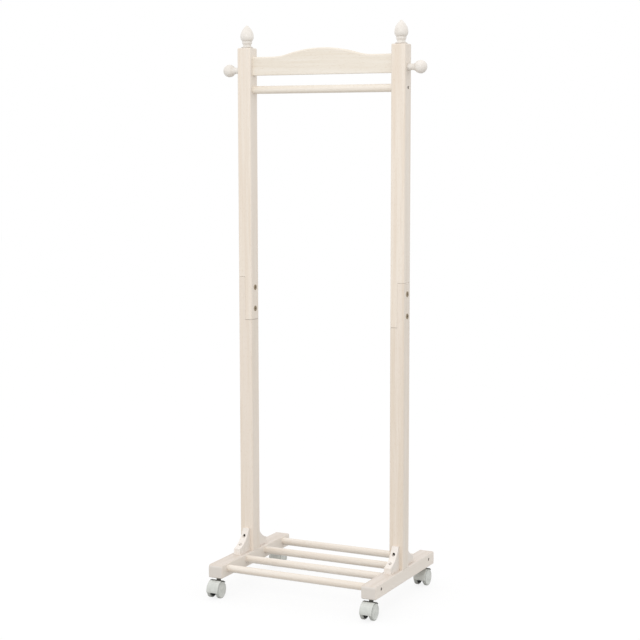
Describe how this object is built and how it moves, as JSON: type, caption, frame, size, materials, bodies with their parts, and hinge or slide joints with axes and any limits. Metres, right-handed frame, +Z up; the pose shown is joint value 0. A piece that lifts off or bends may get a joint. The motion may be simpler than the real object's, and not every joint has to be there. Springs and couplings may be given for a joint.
{
  "type": "clothes rack",
  "caption": "Free-standing wooden clothes rack on swivel casters, with an arched crest rail, a hanger rod, coat pegs, finials and a low shelf of round rods.",
  "frame": {"origin": "on the floor, under the middle of the frame, half-way between the posts", "axes": "+X to the right along the hanger rod, -Y to the front, +Z up"},
  "size_m": [0.6136, 0.4273, 1.5785],
  "materials": {
    "whitewashed_wood": "satin lacquer",
    "rod_wood": "satin lacquer",
    "dowel_beech": "bare",
    "bronzed_steel": "satin",
    "black_zinc_steel": "satin",
    "grey_plastic": "semi-gloss",
    "black_nylon": "matte"
  },
  "bodies": {
    "frame": {"post_upper_left": "whitewashed_wood", "post_upper_right": "whitewashed_wood", "post_lower_left": "whitewashed_wood", "post_lower_right": "whitewashed_wood", "finial_left": "whitewashed_wood", "finial_right": "whitewashed_wood", "coat_peg_left": "whitewashed_wood", "coat_peg_right": "whitewashed_wood", "foot_runner_left": "whitewashed_wood", "foot_runner_right": "whitewashed_wood", "brace_front_left": "whitewashed_wood", "brace_front_right": "whitewashed_wood", "brace_back_left": "whitewashed_wood", "brace_back_right": "whitewashed_wood", "crest_rail": "whitewashed_wood", "hanger_rod": "rod_wood", "shelf_rod_front": "rod_wood", "shelf_rod_mid_front": "rod_wood", "shelf_rod_mid_back": "rod_wood", "shelf_rod_back": "rod_wood", "crest_dowels": "dowel_beech", "post_foot_dowels": "dowel_beech", "lap_bolts": "bronzed_steel", "lap_sleeve_nuts": "bronzed_steel", "brace_post_screws": "bronzed_steel", "brace_runner_screws": "bronzed_steel", "shelf_rod_screws": "bronzed_steel", "hanger_rod_screws": "bronzed_steel", "peg_bolts": "black_zinc_steel", "caster_sockets": "black_zinc_steel"},
    "caster_front_left": {"caster_stem_front_left": "black_zinc_steel", "caster_core_front_left": "black_nylon", "caster_hood_front_left": "grey_plastic", "caster_axle_front_left": "black_zinc_steel"},
    "wheel_front_left_inner": {"caster_wheel_front_left_inner": "grey_plastic"},
    "wheel_front_left_outer": {"caster_wheel_front_left_outer": "grey_plastic"},
    "caster_back_left": {"caster_stem_back_left": "black_zinc_steel", "caster_core_back_left": "black_nylon", "caster_hood_back_left": "grey_plastic", "caster_axle_back_left": "black_zinc_steel"},
    "wheel_back_left_inner": {"caster_wheel_back_left_inner": "grey_plastic"},
    "wheel_back_left_outer": {"caster_wheel_back_left_outer": "grey_plastic"},
    "caster_front_right": {"caster_stem_front_right": "black_zinc_steel", "caster_core_front_right": "black_nylon", "caster_hood_front_right": "grey_plastic", "caster_axle_front_right": "black_zinc_steel"},
    "wheel_front_right_inner": {"caster_wheel_front_right_inner": "grey_plastic"},
    "wheel_front_right_outer": {"caster_wheel_front_right_outer": "grey_plastic"},
    "caster_back_right": {"caster_stem_back_right": "black_zinc_steel", "caster_core_back_right": "black_nylon", "caster_hood_back_right": "grey_plastic", "caster_axle_back_right": "black_zinc_steel"},
    "wheel_back_right_inner": {"caster_wheel_back_right_inner": "grey_plastic"},
    "wheel_back_right_outer": {"caster_wheel_back_right_outer": "grey_plastic"}
  },
  "joints": [
    {"name": "swivel_front_left", "type": "hinge", "parent": "frame", "child": "caster_front_left", "pos_m": [-0.233, -0.184, 0.056], "axis": [0, 0, 1], "continuous": true},
    {"name": "roll_front_left_inner", "type": "hinge", "parent": "caster_front_left", "child": "wheel_front_left_inner", "pos_m": [-0.233, -0.197, 0.023], "axis": [1, 0, 0], "continuous": true},
    {"name": "roll_front_left_outer", "type": "hinge", "parent": "caster_front_left", "child": "wheel_front_left_outer", "pos_m": [-0.233, -0.197, 0.023], "axis": [1, 0, 0], "continuous": true},
    {"name": "swivel_back_left", "type": "hinge", "parent": "frame", "child": "caster_back_left", "pos_m": [-0.233, 0.184, 0.056], "axis": [0, 0, 1], "continuous": true},
    {"name": "roll_back_left_inner", "type": "hinge", "parent": "caster_back_left", "child": "wheel_back_left_inner", "pos_m": [-0.233, 0.171, 0.023], "axis": [1, 0, 0], "continuous": true},
    {"name": "roll_back_left_outer", "type": "hinge", "parent": "caster_back_left", "child": "wheel_back_left_outer", "pos_m": [-0.233, 0.171, 0.023], "axis": [1, 0, 0], "continuous": true},
    {"name": "swivel_front_right", "type": "hinge", "parent": "frame", "child": "caster_front_right", "pos_m": [0.233, -0.184, 0.056], "axis": [0, 0, 1], "continuous": true},
    {"name": "roll_front_right_inner", "type": "hinge", "parent": "caster_front_right", "child": "wheel_front_right_inner", "pos_m": [0.233, -0.197, 0.023], "axis": [1, 0, 0], "continuous": true},
    {"name": "roll_front_right_outer", "type": "hinge", "parent": "caster_front_right", "child": "wheel_front_right_outer", "pos_m": [0.233, -0.197, 0.023], "axis": [1, 0, 0], "continuous": true},
    {"name": "swivel_back_right", "type": "hinge", "parent": "frame", "child": "caster_back_right", "pos_m": [0.233, 0.184, 0.056], "axis": [0, 0, 1], "continuous": true},
    {"name": "roll_back_right_inner", "type": "hinge", "parent": "caster_back_right", "child": "wheel_back_right_inner", "pos_m": [0.233, 0.171, 0.023], "axis": [1, 0, 0], "continuous": true},
    {"name": "roll_back_right_outer", "type": "hinge", "parent": "caster_back_right", "child": "wheel_back_right_outer", "pos_m": [0.233, 0.171, 0.023], "axis": [1, 0, 0], "continuous": true}
  ]
}
